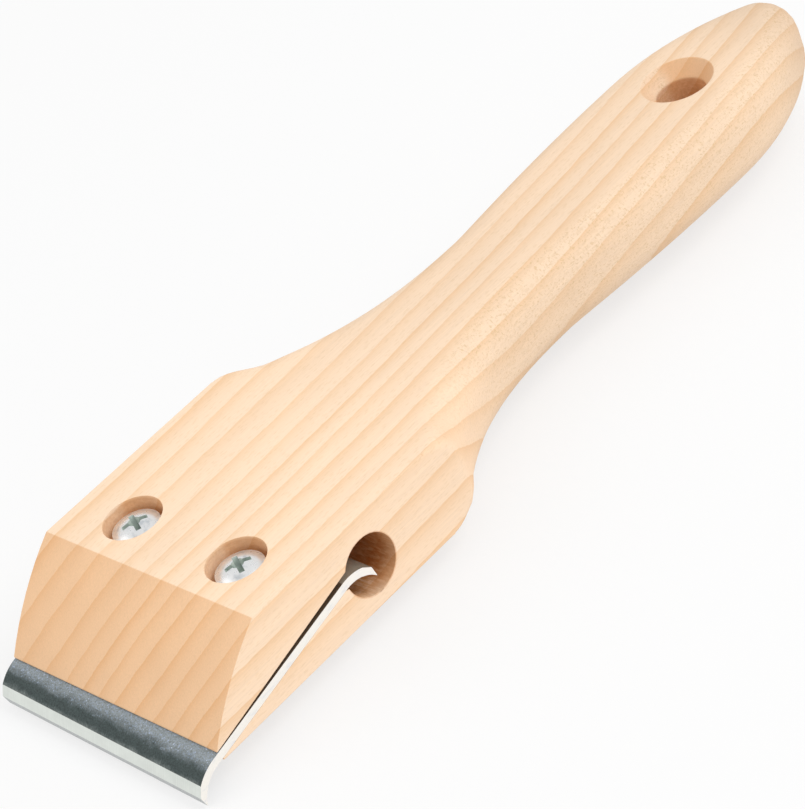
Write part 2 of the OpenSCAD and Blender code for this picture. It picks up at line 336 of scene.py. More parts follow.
class Graph:
    """A material's node tree and the moves that build it."""

    def __init__(self, name: str) -> None:
        """Starts a material with one principled shader, and reads the place on the piece in millimetres."""
        self.material = bpy.data.materials.new(name)
        self.material.use_nodes = True
        self.tree = self.material.node_tree
        self.shader = self.tree.nodes["Principled BSDF"]
        coordinates = self.add("ShaderNodeTexCoord").outputs
        self.facing = coordinates["Normal"]
        self.place = self.vector("SCALE", coordinates["Object"])
        self.place.node.inputs["Scale"].default_value = 1 / MM
        self.x, self.y, self.z = self.parts(self.place)

    def add(self, kind: str, **settings: object) -> bpy.types.Node:
        """Adds a node of a kind with its settings and returns it."""
        node = self.tree.nodes.new(kind)
        for key, value in settings.items():
            setattr(node, key, value)
        return node

    def feed(self, socket: Socket, value: object) -> None:
        """Links a socket into another, or writes a plain value on it."""
        if isinstance(value, Socket):
            self.tree.links.new(value, socket)
        else:
            socket.default_value = value

    def set(self, **values: object) -> None:
        """Feeds the shader's sockets, an underscore standing for a space."""
        for key, value in values.items():
            self.feed(self.shader.inputs[key.replace("_", " ")], value)

    def math(self, operation: str, a: Value, b: Value = 0.0, c: Value = 0.0) -> Socket:
        """Adds a Math node.

        Args:
            operation: Its operation, such as ADD.
            a: First value.
            b: Second value.
            c: Third value.

        Returns:
            The result's socket.
        """
        node = self.add("ShaderNodeMath", operation=operation)
        for socket, value in zip(node.inputs, (a, b, c)):
            self.feed(socket, value)
        return node.outputs[0]

    def times(self, a: Value, b: Value) -> Socket:
        """Multiplies two values."""
        return self.math("MULTIPLY", a, b)

    def sway(self, noise: Socket, reach: float, base: Value = 0.0) -> Socket:
        """Adds a noise's swing about 0.5, times a reach, to a base value."""
        return self.math("MULTIPLY_ADD", self.math("SUBTRACT", noise, 0.5), reach, base)

    def vector(self, operation: str, a: Place, b: Place = (0.0, 0.0, 0.0)) -> Socket:
        """Adds a Vector Math node.

        Args:
            operation: Its operation, such as MULTIPLY.
            a: First vector.
            b: Second vector.

        Returns:
            The result's socket, the number for a length.
        """
        node = self.add("ShaderNodeVectorMath", operation=operation)
        self.feed(node.inputs[0], a)
        self.feed(node.inputs[1], b)
        return node.outputs["Value" if operation == "LENGTH" else "Vector"]

    def parts(self, vector: Place) -> tuple[Socket, ...]:
        """Splits a vector into its X, Y and Z."""
        node = self.add("ShaderNodeSeparateXYZ")
        self.feed(node.inputs[0], vector)
        return tuple(node.outputs)

    def whole(self, x: Value, y: Value, z: Value) -> Socket:
        """Makes a vector of three values."""
        node = self.add("ShaderNodeCombineXYZ")
        for socket, value in zip(node.inputs, (x, y, z)):
            self.feed(socket, value)
        return node.outputs[0]

    def grain(self, noise: Noise, place: Place | None = None) -> Socket:
        """Adds a noise.

        Args:
            noise: Its grains.
            place: Where it is read, if not at the place on the piece.

        Returns:
            The noise's value, around 0.5.
        """
        node = self.add("ShaderNodeTexNoise")
        self.feed(node.inputs["Vector"], self.vector("MULTIPLY", place or self.place, noise.per))
        settings = {"Scale": 1.0, "Detail": noise.detail, "Roughness": noise.rough, "Distortion": noise.warp}
        for key, value in settings.items():
            node.inputs[key].default_value = value
        return node.outputs[0]

    def cells(self, place: Place, per: Point) -> tuple[Socket, Socket]:
        """Adds scattered cells.

        Args:
            place: Where they are read.
            per: Cells along each unit of X, Y and Z.

        Returns:
            The distance from the nearest cell's middle, and a number of that cell's own.
        """
        node = self.add("ShaderNodeTexVoronoi")
        self.feed(node.inputs["Vector"], self.vector("MULTIPLY", place, per))
        node.inputs["Scale"].default_value = 1.0
        return node.outputs["Distance"], self.parts(node.outputs["Color"])[0]

    def step(self, value: Value, ramp: Ramp) -> Socket:
        """Takes a value through a ramp."""
        node = self.add("ShaderNodeMapRange", interpolation_type="SMOOTHSTEP")
        for socket, number in zip(node.inputs, (value, ramp.start, ramp.end, ramp.low, ramp.high)):
            self.feed(socket, number)
        return node.outputs[0]

    def mix(self, share: Value, a: object, b: object, blend: str = "MIX") -> Socket:
        """Mixes two colours.

        Args:
            share: How much of the second one.
            a: First colour.
            b: Second colour.
            blend: How they are mixed.

        Returns:
            The mixed colour's socket.
        """
        node = self.add("ShaderNodeMix", data_type="RGBA", blend_type=blend)
        self.feed(node.inputs["Factor"], share)
        self.feed(node.inputs[6], a)
        self.feed(node.inputs[7], b)
        return node.outputs[2]

    def tinted(self, colour: object, tint: object) -> Socket:
        """Multiplies a colour by another one."""
        return self.mix(1.0, colour, tint, "MULTIPLY")

    def shaded(self, colour: object, shade: Socket) -> Socket:
        """Multiplies a colour by a plain number."""
        return self.tinted(colour, self.whole(shade, shade, shade))

    def bump(self, height: Socket, distance: float, strength: float) -> None:
        """Gives the shader a relief.

        Args:
            height: Its height, from 0 to 1.
            distance: Height of 1, in millimetres.
            strength: How strongly it shows.
        """
        node = self.add("ShaderNodeBump")
        node.inputs["Strength"].default_value = strength
        node.inputs["Distance"].default_value = distance * MM
        self.feed(node.inputs["Height"], height)
        self.set(Normal=node.outputs[0])


@dataclass(frozen=True)
class Bore:
    """A drilled hole of the handle, whose wall is painted browner than the sanded wood:
    partly torn fibres, partly painted shade inside the hole.

    across is 0 along the hole's own axis, the rim is sanded clean above top,
    and share is how strong the painted brown and shade is.
    """

    centre: Point
    across: Point
    radius: float
    top: float
    share: float


@dataclass(frozen=True)
class BeechWood:
    """Sanded, unvarnished beech, as one solid stick: rings, rays, fibres and end grain.

    The rings' planes hold the fibre direction, which is Y, and lean by the
    ratio lean, so each ring crosses the top face as a stripe and the nose's
    slope as a slanting band. ring_edges gives where the rings end along X on
    the top face, from the pith side outward. Behind the slope they drift by
    the distance and by its square, and the wavers shift them by their reach.
    A ring darkens by the power late_rise and then falls. ring_hash turns its
    number into a chance, and ring_depth that into its strength, by a factor
    and a least. The end grain is read from how far a surface faces -Y in
    front and +Y behind, and shades are how the wood darkens along Y. All
    places are in millimetres.
    """

    top_z: float = 20.43
    slope_top_y: float = -69.05
    lean: float = 0.795
    across_ring: tuple[float, float] = (0.78, -0.62)
    ring_edges: tuple[float, ...] = (
        47.0, 42.5, 38.2, 33.8, 29.4, 25.4, 21.0, 16.6, 11.8, 7.6, 3.75, -0.6, -5.7, -11.6, -17.2, -23.0, -29.0
    )
    drift: tuple[float, float] = (0.01, 0.00045)
    wavers: tuple[tuple[Noise, float], ...] = (
        (Noise((0.12, 0.04, 0.12), 3.0), 1.3),
        (Noise((3.0, 0.35, 3.0), 2.0), 0.35),
    )
    late_rise: float = 2.4
    late_fall: Ramp = Ramp(0.955, 1.0, 1.0, 0.0)
    ring_hash: tuple[float, float] = (12.99, 43.7)
    ring_depth: tuple[float, float] = (0.45, 0.65)
    ray_cells: Point = (1.1, 0.8, 3.4)
    ray_edge: Ramp = Ramp(0.5, 0.25)
    ray_chance: Ramp = Ramp(0.35, 0.6, 0.0, 0.2)
    flecks: Noise = Noise((2.2, 2.6, 5.0), 2.0, 0.6, 0.8)
    fleck_edge: Ramp = Ramp(0.53, 0.66, 0.0, 0.6)
    fleck_side: Ramp = Ramp(0.06, 0.4)
    fleck_run: Ramp = Ramp(-26.0, -4.0)
    end_front: Ramp = Ramp(-0.1, -0.5)
    end_back: Ramp = Ramp(0.2, 0.95, 0.0, 0.45)
    end_share: float = 0.85
    end_rays: float = -0.5
    streaks: Noise = Noise((4.5, 0.09, 4.5), 3.0, 0.6)
    streak_depth: float = 0.20
    clouds: Noise = Noise((0.11, 0.03, 0.11), 2.0)
    cloud_depth: float = 0.12
    vessels: Noise = Noise((9.0, 0.5, 9.0), 1.0)
    vessel_edge: Ramp = Ramp(0.62, 0.75)
    vessel_depth: float = -0.06
    shades: tuple[Ramp, ...] = (Ramp(-40.0, 5.0, 1.0, 0.91), Ramp(66.0, 89.0, 1.0, 0.86))
    # Holes whose walls are painted browner: partly torn fibres, partly painted shade inside the hole.
    bores: tuple[Bore, ...] = (
        Bore((0.0, -46.85, 11.63), (0.0, 1.0, 1.0), 5.15, 99.0, 0.85),
        Bore((-12.5, -60.65, 0.0), (1.0, 1.0, 0.0), 5.1, 20.3, 0.3),
        Bore((12.5, -60.65, 0.0), (1.0, 1.0, 0.0), 5.1, 20.3, 0.3),
        Bore((0.0, 62.45, 0.0), (1.0, 1.0, 0.0), 4.5, 17.6, 0.4),
    )
    bore_wall: tuple[float, float] = (0.3, 0.1)
    bore_rim: float = 0.5
    bore_mouth: Ramp = Ramp(21.0, 25.0, 1.0, 0.45)
    torn: Noise = Noise((0.5, 2.2, 2.2), 3.0, 0.65)
    torn_depth: Ramp = Ramp(0.3, 0.65, 0.6, 1.2)
    early: Colour = linear(253, 224, 194)
    late: Colour = linear(244, 203, 160)
    end_tint: Colour = linear(246, 225, 200)
    ray_tint: Colour = linear(226, 190, 140)
    # Tint of the drilled walls, partly torn fibres and partly painted shade.
    bore_brown_and_shade_tint: Colour = linear(206, 160, 110)

    def ring_phase(self, graph: Graph, reach: Value) -> tuple[Socket, Socket]:
        """Maps the place across the rings to a ring's own run.

        Args:
            graph: The material's tree.
            reach: The place along X on the top face, in millimetres.

        Returns:
            How far through its ring the place is, 0 to 1 outward, and the ring's number.
        """
        first, last = self.ring_edges[0], self.ring_edges[-1]
        count = len(self.ring_edges) - 1
        node = graph.add("ShaderNodeFloatCurve")
        curve = node.mapping.curves[0]
        shares = [((first - edge) / (first - last), k / count) for k, edge in enumerate(self.ring_edges)]
        curve.points[0].location = shares[0]
        curve.points[1].location = shares[-1]
        for share in shares[1:-1]:
            curve.points.new(*share)
        for point in curve.points:
            point.handle_type = "VECTOR"
        node.mapping.update()
        graph.feed(node.inputs["Value"], graph.math("DIVIDE", graph.math("SUBTRACT", first, reach), first - last))
        number = graph.times(node.outputs[0], float(count))
        return graph.math("FRACT", number), graph.math("FLOOR", number)

    def ringed(self, graph: Graph) -> Socket:
        """Tells how much late wood shows, as a share from 0 to 1.

        Args:
            graph: The material's tree.

        Returns:
            The share's socket.
        """
        behind = graph.math("MAXIMUM", graph.math("SUBTRACT", graph.y, self.slope_top_y), 0.0)
        curved = graph.times(graph.math("POWER", behind, 2.0), self.drift[1])
        drift = graph.math("ADD", graph.times(behind, self.drift[0]), curved)
        reach = graph.math("MULTIPLY_ADD", graph.math("SUBTRACT", self.top_z, graph.z), self.lean, graph.x)
        for shift in (drift, *(graph.sway(graph.grain(noise), width) for noise, width in self.wavers)):
            reach = graph.math("ADD", reach, shift)
        phase, number = self.ring_phase(graph, reach)
        late = graph.times(graph.math("POWER", phase, self.late_rise), graph.step(phase, self.late_fall))
        wave = graph.math("SINE", graph.times(number, self.ring_hash[0]))
        chance = graph.math("FRACT", graph.times(wave, self.ring_hash[1]))
        return graph.times(late, graph.math("MULTIPLY_ADD", chance, *self.ring_depth))

    def rayed(self, graph: Graph) -> Socket:
        """Tells how much of a ray shows, or of a fleck on the right flank, as a share from 0 to 1.

        Args:
            graph: The material's tree.

        Returns:
            The share's socket.
        """
        out_x, out_z = self.across_ring
        across = graph.math("ADD", graph.times(graph.x, out_x), graph.times(graph.z, out_z))
        beside = graph.math("ADD", graph.times(graph.x, -out_z), graph.times(graph.z, out_x))
        spot = graph.whole(across, graph.y, beside)
        near, chance = graph.cells(spot, self.ray_cells)
        ray = graph.times(graph.step(near, self.ray_edge), graph.step(chance, self.ray_chance))
        fleck = graph.step(graph.grain(self.flecks, spot), self.fleck_edge)
        side = graph.step(graph.parts(graph.facing)[0], self.fleck_side)
        turned = graph.times(side, graph.step(graph.y, self.fleck_run))
        return graph.math("MAXIMUM", ray, graph.times(fleck, turned))

    def bore_brown_and_shade(self, graph: Graph) -> Socket:
        """Tells how brown a drilled wall is painted, for torn fibres and painted shade, as a share that is 0 off the
        walls.

        Args:
            graph: The material's tree.

        Returns:
            The share's socket.
        """
        most: Value = 0.0
        outside, inside = self.bore_wall
        for bore in self.bores:
            off_axis = graph.vector("MULTIPLY", graph.vector("SUBTRACT", graph.place, bore.centre), bore.across)
            wall = Ramp(bore.radius + outside, bore.radius + inside, 0.0, bore.share)
            on_wall = graph.step(graph.vector("LENGTH", off_axis), wall)
            below = graph.step(graph.z, Ramp(bore.top, bore.top - self.bore_rim))
            most = graph.math("MAXIMUM", most, graph.times(on_wall, below))
        # The painted shade in the cross hole is weaker toward its mouths on the handle's sides.
        mouth = graph.step(graph.math("ABSOLUTE", graph.x), self.bore_mouth)
        torn = graph.step(graph.grain(self.torn), self.torn_depth)
        return graph.times(graph.times(most, mouth), torn)

    def make(self) -> Material:
        """Builds the material."""
        graph = Graph("beech_sanded")
        streaks, vessels = graph.grain(self.streaks), graph.grain(self.vessels)
        ray = self.rayed(graph)
        facing_y = graph.parts(graph.facing)[1]
        end = graph.math("MAXIMUM", graph.step(facing_y, self.end_front), graph.step(facing_y, self.end_back))

        colour = graph.mix(self.ringed(graph), self.early, self.late)
        colour = graph.mix(graph.times(end, self.end_share), colour, graph.tinted(colour, self.end_tint))
        ray_share = graph.times(ray, graph.math("MULTIPLY_ADD", end, self.end_rays, 1.0))
        colour = graph.mix(ray_share, colour, self.ray_tint)
        shade = graph.sway(streaks, self.streak_depth, 1.0)
        shade = graph.sway(graph.grain(self.clouds), self.cloud_depth, shade)
        shade = graph.math("MULTIPLY_ADD", graph.step(vessels, self.vessel_edge), self.vessel_depth, shade)
        for ramp in self.shades:
            shade = graph.times(shade, graph.step(graph.y, ramp))
        colour = graph.shaded(colour, shade)
        # Drilled walls: painted brown for torn fibres, and painted shade inside the holes.
        colour = graph.mix(self.bore_brown_and_shade(graph), colour, graph.tinted(colour, self.bore_brown_and_shade_tint))
        graph.set(Base_Color=colour, Roughness=graph.math("MULTIPLY_ADD", ray, -0.12, 0.62), Specular_IOR_Level=0.32)
        relief = graph.math("ADD", graph.times(streaks, 0.6), graph.times(vessels, 0.4))
        graph.bump(relief, distance=0.05, strength=0.5)
        return graph.material


@dataclass(frozen=True)
class MillScaleSteel:
    """Hardened strip steel that kept its scale: greyer and worn on the flat, dark where it was bent.

    The bend's angle is read in the blade's own frame, which leans by tilt and
    whose ends are off square by skew; nose is where the flat's upper face
    meets the nose, middle how far behind it the flat's middle lies. The
    _turn fields are degrees that a noise shifts that angle by, and dark_rise,
    heat_rise and glint_fall are in those degrees. Behind the nose, where the
    blade runs into the saw cut, the steel is painted dark brown: partly dust,
    partly painted shade.
    """

    tilt: float = 12.3
    skew: float = 1.1
    nose: Point = (0.0, -84.149, 6.011)
    middle: float = 15.95
    half_flat: float = 16.65
    bend_r: float = 7.3
    mottle: Noise = Noise((0.35, 0.6, 0.6), 4.0, 0.6, 0.4)
    mottle_turn: float = 16.0
    drawn: Noise = Noise((3.4, 0.5, 0.5), 4.0, 0.6)
    drawn_turn: float = 9.0
    drawn_depth: float = 0.4
    specks: Noise = Noise((3.6, 3.6, 3.6), 3.0, 0.75)
    speck_depth: float = 2.4
    blue_edge: Ramp = Ramp(0.5, 0.68)
    dark_rise: Ramp = Ramp(0.0, 21.0)
    heat_rise: Ramp = Ramp(28.0, 38.0, 0.0, 0.85)
    glint_edge: Ramp = Ramp(0.62, 0.7)
    glint_fall: Ramp = Ramp(20.0, 4.0, 0.0, 0.8)
    kerf_dust_and_shade_run: float = 2.0
    worn: Colour = linear(150, 158, 160)
    blue: Colour = linear(128, 146, 176)
    dark: Colour = linear(60, 71, 70)
    heat: Colour = linear(118, 126, 124)
    glint: Colour = linear(205, 212, 222)
    # Dark brown inside the saw cut: partly dust, partly painted shade.
    kerf_dust_and_shade: Colour = linear(98, 82, 66)

    def bend_angle(self, graph: Graph) -> Socket:
        """Reads how far round a bend the place on the blade is.

        Args:
            graph: The material's tree.

        Returns:
            The angle in degrees, 0 on the flat.
        """
        x, y, z = graph.parts(graph.vector("SUBTRACT", graph.place, self.nose))
        rise, run = math.sin(math.radians(self.tilt)), math.cos(math.radians(self.tilt))
        along = graph.math("MULTIPLY_ADD", y, run, graph.times(z, rise))
        along = graph.math("MULTIPLY_ADD", x, math.sin(math.radians(self.skew)), along)
        above = graph.math("MULTIPLY_ADD", z, run, graph.times(y, -rise))
        past = graph.math("ABSOLUTE", graph.math("SUBTRACT", along, self.middle))
        past = graph.math("MAXIMUM", graph.math("SUBTRACT", past, self.half_flat), 0.0)
        angle = graph.math("ARCTAN2", past, graph.math("ADD", above, self.bend_r))
        return graph.times(angle, 180 / math.pi)

    def make(self) -> Material:
        """Builds the material."""
        graph = Graph("blade_mill_scale")
        mottle, drawn, specks = (graph.grain(noise) for noise in (self.mottle, self.drawn, self.specks))
        angle = self.bend_angle(graph)
        for noise, turn in ((mottle, self.mottle_turn), (drawn, self.drawn_turn)):
            angle = graph.math("ADD", angle, graph.sway(noise, turn))
        colour = graph.mix(graph.step(specks, self.blue_edge), self.worn, self.blue)
        colour = graph.mix(graph.step(angle, self.dark_rise), colour, self.dark)
        colour = graph.mix(graph.step(angle, self.heat_rise), colour, self.heat)
        glinting = graph.times(graph.step(specks, self.glint_edge), graph.step(angle, self.glint_fall))
        colour = graph.mix(glinting, colour, self.glint)
        shade = graph.sway(specks, self.speck_depth, graph.sway(drawn, self.drawn_depth, 1.0))
        # Painted shade and dust: the blade turns dark brown behind the nose, inside the saw cut.
        behind = Ramp(self.nose[1], self.nose[1] + self.kerf_dust_and_shade_run)
        colour = graph.mix(graph.step(graph.y, behind), graph.shaded(colour, shade), self.kerf_dust_and_shade)
        graph.set(Base_Color=colour, Metallic=0.25, Roughness=graph.math("MULTIPLY_ADD", mottle, 0.2, 0.35))
        graph.set(Specular_IOR_Level=0.3)
        graph.bump(specks, distance=0.02, strength=0.5)
        return graph.material


@dataclass(frozen=True)
class GroundSteel:
    """Bright steel off the grinding wheel, with fine marks across the edge."""

    name: str = "blade_ground_facet"
    tone: Colour = linear(226, 231, 225)
    metallic: float = 0.3
    marks: Noise = Noise((7.0, 0.25, 0.25), 3.0, 0.6)
    mark_depth: float = 0.22
    clouds: Noise = Noise((0.35, 0.5, 0.5), 3.0)
    cloud_depth: float = 0.2

    def make(self) -> Material:
        """Builds the material."""
        graph = Graph(self.name)
        marks, clouds = graph.grain(self.marks), graph.grain(self.clouds)
        shade = graph.sway(clouds, self.cloud_depth, graph.sway(marks, self.mark_depth, 1.0))
        graph.set(Base_Color=graph.shaded(self.tone, shade))
        graph.set(Metallic=self.metallic, Roughness=graph.math("MULTIPLY_ADD", marks, 0.15, 0.3))
        graph.bump(marks, distance=0.01, strength=0.3)
        return graph.material


@dataclass(frozen=True)
class ShearedSteel:
    """The blade's long sides as the shears left them: bright, smeared and almost white."""

    tone: Colour = linear(247, 243, 236)
    cool: Colour = linear(222, 224, 230)
    smears: Noise = Noise((1.2, 0.35, 1.2), 3.0)
    cool_edge: Ramp = Ramp(0.52, 0.7, 0.0, 0.5)

    def make(self) -> Material:
        """Builds the material."""
        graph = Graph("blade_sheared_side")
        cool = graph.step(graph.grain(self.smears), self.cool_edge)
        graph.set(Base_Color=graph.mix(cool, self.tone, self.cool))
        graph.set(Metallic=0.0, Roughness=0.55, Specular_IOR_Level=0.3)
        return graph.material


@dataclass(frozen=True)
class ZincPlate:
    """Bright zinc plating on the screws and nuts."""

    name: str = "zinc_bright"
    tone: Colour = linear(240, 242, 243)
    dull: Colour = linear(176, 186, 194)
    metallic: float = 0.7
    clouds: Noise = Noise((0.8, 0.8, 0.8), 3.0)
    dull_edge: Ramp = Ramp(0.5, 0.75, 0.0, 0.6)
    grit: Noise = Noise((7.0, 7.0, 7.0), 2.0)

    def make(self) -> Material:
        """Builds the material."""
        graph = Graph(self.name)
        clouds = graph.grain(self.clouds)
        graph.set(Base_Color=graph.mix(graph.step(clouds, self.dull_edge), self.tone, self.dull))
        graph.set(Metallic=self.metallic, Roughness=graph.math("MULTIPLY_ADD", clouds, 0.2, 0.2))
        graph.bump(graph.grain(self.grit), distance=0.01, strength=0.1)
        return graph.material


@dataclass(frozen=True)
class StudioFloor:
    """Plain pale floor, white to the camera except in the tool's soft shadow."""

    tone: Colour = (0.86, 0.86, 0.86, 1.0)
    lift: float = 0.72

    def make(self) -> Material:
        """Builds the material."""
        graph = Graph("studio_floor")
        graph.set(Base_Color=self.tone, Roughness=0.9, Specular_IOR_Level=0.0)
        rays = graph.add("ShaderNodeLightPath")
        seen = graph.math("MAXIMUM", rays.outputs["Is Camera Ray"], rays.outputs["Is Glossy Ray"])
        seen = graph.math("MAXIMUM", seen, rays.outputs["Is Transmission Ray"])
        glow = graph.add("ShaderNodeEmission")
        glow.inputs["Strength"].default_value = 1.0
        blend = graph.add("ShaderNodeMixShader")
        graph.feed(blend.inputs[0], graph.times(seen, self.lift))
        graph.feed(blend.inputs[1], graph.shader.outputs[0])
        graph.feed(blend.inputs[2], glow.outputs[0])
        graph.feed(graph.tree.nodes["Material Output"].inputs[0], blend.outputs[0])
        return graph.material


@dataclass
class Handle:
    """The beech stick: head, waisted grip and tail.

    The edges that turn through as many degrees as turns says are eased,
    except where the grip's blend starts and where they are short. Points of
    the solid nearer than merged, in metres, are one.
    """

    wood: Material
    arris: float = 0.16
    grip_start: float = -30.65
    near_start: float = 0.4
    turns: tuple[float, float] = (30.0, 130.0)
    least_edge: float = 0.15
    merged: float = 2e-6
    smooth: float = 32.0

    def is_arris(self, edge: Edge) -> bool:
        """Tells whether an edge is one of the sawn or drilled arrises that sanding eased."""
        turn = math.degrees(edge.calc_face_angle(0))
        middle = (edge.verts[0].co + edge.verts[1].co) / 2 / MM
        at_start = abs(middle.y - self.grip_start) < self.near_start
        is_long = edge.calc_length() > self.least_edge * MM
        return self.turns[0] < turn < self.turns[1] and not at_start and is_long

    def stick(self) -> Piece:
        """Builds the handle on a merged copy of its solid, with its arrises eased."""
        piece = Bench.copy(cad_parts["handle"], "handle_stick")
        with Bench.shaping(piece, "VERT"):
            bpy.ops.mesh.select_all(action="SELECT")
            bpy.ops.mesh.remove_doubles(threshold=self.merged)
        with Bench.shaping(piece, "EDGE"):
            Bench.pick_edges(piece, self.is_arris)
            bpy.ops.mesh.bevel(offset=self.arris * MM, segments=2, clamp_overlap=False)
        Bench.smooth(piece, self.smooth)
        Bench.coat(piece, self.wood)
        return piece

    def build(self) -> list[Piece]:
        """Builds and dresses the handle.

        Returns:
            Its pieces.
        """
        stick = self.stick()
        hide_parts("handle")
        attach(stick, Body.HANDLE.value)
        return [stick]


class Finish(IntEnum):
    """Places of the blade's materials on its mesh."""

    SCALE = 0
    GROUND = 1
    LAND = 2
    SHEARED = 3
    SPARE = 4


@dataclass
class Blade:
    """The reversible blade: a flat strip with both ends hooked down and ground.

    Lengths are in millimetres, and a hook's angles are in degrees from where
    its bend starts: the long ground facet begins at grind_start and the steep
    land at land_start. trim is what shearing takes off each side. The pairs
    of holes are hole_gap apart, the first one hole_s from the flat's middle
    and, once seated, screw_s from the nose along the slope. finishes are the
    materials in the order of Finish, and near_ fields say how near to a place
    counts as on it.
    """

    finishes: tuple[Material, ...]
    width: float = 50.0
    trim: float = 2.0
    thick: float = 1.5
    flat: float = 33.3
    bend_r: float = 7.3
    sweep: float = 64.0
    steps: int = 20
    grind_start: float = 34.0
    land_start: float = 50.0
    land_deep: float = 0.3
    edge_thick: float = 0.1
    land_slant: float = 69.0
    near_inside: float = 0.03
    near_start: float = 0.5
    tilt: float = 12.3
    skew: float = 1.1
    hole_r: float = 2.75
    hole_gap: float = 16.5
    hole_s: float = 8.26563
    screw_gap: float = 25.0
    screw_s: float = 24.21563
    nose: Point = (0.0, -84.14949, 20.43134)
    deep: float = 14.42
    broken: float = 0.08
    least_turn: float = 50.0
    least_edge: float = 0.12
    near_side: float = 0.01
    near_hole: float = 0.1
    side_run: float = 0.2
    side_facing: float = 0.6
    smooth: float = 24.0

    def is_broken(self, edge: Edge) -> bool:
        """Tells whether an edge of the blade is one whose burr was broken: a side's up to the grinding, or a hole's."""
        start, end = (vert.co / MM for vert in edge.verts)
        middle = (start + end) / 2
        if edge.calc_face_angle(0) < math.radians(self.least_turn) or edge.calc_length() < self.least_edge * MM:
            return False
        if abs(middle.x) > self.width / 2 - self.near_side:
            turn = math.radians(self.skew)
            past = abs(self.hole_s + middle.x * math.sin(turn) + middle.y * math.cos(turn)) - self.flat / 2
            is_ground = math.atan2(past, middle.z + self.bend_r) > math.radians(self.grind_start)
            return not is_ground and abs(start.x - end.x) < self.near_side
        reach = abs(middle.x) - self.screw_gap / 2
        rim = self.hole_r + self.near_hole
        return any(math.hypot(reach, middle.y + row * self.hole_gap) < rim for row in (0, 1))

    def strip(self) -> Piece:
        """Bends both ends of a flat strip down, the strip being wider than the blade."""
        size = (self.width + 2 * self.trim, self.flat, self.thick)
        piece = Bench.block("blade_strip", (0, 0, -self.thick / 2), size)
        for end in (-1, 1):
            with Bench.shaping(piece):
                Bench.pick_faces(piece, lambda face: face.normal.y * end > TURNED)
                bpy.ops.mesh.spin(
                    steps=self.steps,
                    angle=math.radians(self.sweep),
                    center=(0, end * self.flat / 2 * MM, -self.bend_r * MM),
                    axis=(end, 0, 0),
                )
        with Bench.shaping(piece, "VERT"):
            bpy.ops.mesh.select_all(action="SELECT")
            bpy.ops.mesh.remove_doubles(threshold=ON_PLANE)
            bpy.ops.mesh.normals_make_consistent(inside=False)
        return piece

    @staticmethod
    def corner(angle: float, radius: float) -> Vector:
        """Gives a place on a hook's section, in millimetres from the bend's centre, for the end toward +Y."""
        return Vector((0, radius * math.sin(math.radians(angle)), radius * math.cos(math.radians(angle))))

    def grind(self, piece: Piece) -> None:
        """Cuts the two ground facets at both ends of the strip, the flatter one first."""
        start = self.corner(self.grind_start, self.bend_r)
        land = self.corner(self.land_start, self.bend_r - self.land_deep)
        tip = self.corner(self.sweep, self.bend_r - self.thick + self.edge_thick)
        for first, second in ((start, land), (land, tip)):
            run = (second - first).normalized()
            for end in (-1, 1):
                centre = Vector((0, end * (self.flat / 2 + first.y), first.z - self.bend_r))
                Bench.slice(piece, centre * MM, (0, -end * run.z, run.y))

    def shear(self, piece: Piece) -> None:
        """Turns the strip by the angle that its ends are off square, and cuts its long sides along the handle."""
        square_off = Matrix.Rotation(math.radians(-self.skew), 4, "Z")
        Bench.place(piece, square_off @ Matrix.Translation((0, -self.hole_s * MM, 0)))
        for side in (-1, 1):
            Bench.slice(piece, (side * self.width / 2 * MM, 0, 0), (side, 0, 0))

    def holes(self, piece: Piece) -> None:
        """Cuts the two pairs of screw holes, the first pair in line with the screws."""
        for x in (-1, 1):
            for row in (0, 1):
                spot = (x * self.screw_gap / 2, -row * self.hole_gap, -self.thick / 2)
                Bench.cut(piece, Bench.rod("hole", spot, self.hole_r, self.thick * 3, sides=48))

    def seat(self, piece: Piece) -> None:
        """Lays the blade on the saw cut's slope, its holes round the screws."""
        nose = Matrix.Translation(Vector(self.nose) * MM) @ Matrix.Translation((0, 0, -self.deep * MM))
        slope = Matrix.Rotation(math.radians(self.tilt), 4, "X") @ Matrix.Translation((0, self.screw_s * MM, 0))
        Bench.place(piece, nose @ slope)

    def finish_of(self, face: bpy.types.MeshPolygon) -> Finish:
        """Tells which material a face of the strip takes, while its middle is still at the origin."""
        y, z = abs(face.center.y / MM) - self.flat / 2, face.center.z / MM + self.bend_r
        if y < 0:
            return Finish.SCALE
        if face.center.y > 0:
            return Finish.SPARE
        radius, angle = math.hypot(y, z), math.degrees(math.atan2(y, z))
        is_inside = radius < self.bend_r - self.thick + self.near_inside
        if is_inside or angle < self.grind_start - self.near_start:
            return Finish.SCALE
        slant = math.degrees(math.atan2(-face.normal.y, face.normal.z))
        return Finish.LAND if slant > self.land_slant else Finish.GROUND

    def dress(self, piece: Piece) -> None:
        """Gives the strip its materials and each face its finish, the sides' coming after the holes."""
        Bench.coat(piece, *self.finishes)
        for face in piece.data.polygons:
            face.material_index = self.finish_of(face)

    def dress_sides(self, piece: Piece) -> None:
        """Gives the sheared sides their finish."""
        for face in piece.data.polygons:
            is_side = abs(face.center.x) > (self.width / 2 - self.side_run) * MM
            if is_side and abs(face.normal.x) > self.side_facing:
                face.material_index = Finish.SHEARED

    def build(self) -> list[Piece]:
        """Builds and dresses the blade.

        Returns:
            Its pieces.
        """
        piece = self.strip()
        self.grind(piece)
        self.dress(piece)
        self.shear(piece)
        self.holes(piece)
        with Bench.shaping(piece, "EDGE"):
            Bench.pick_edges(piece, self.is_broken)
            bpy.ops.mesh.bevel(offset=self.broken * MM, segments=2, clamp_overlap=False)
        self.dress_sides(piece)
        self.seat(piece)
        Bench.smooth(piece, self.smooth)
        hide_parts("blade")
        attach(piece, Body.HANDLE.value)
        return [piece]


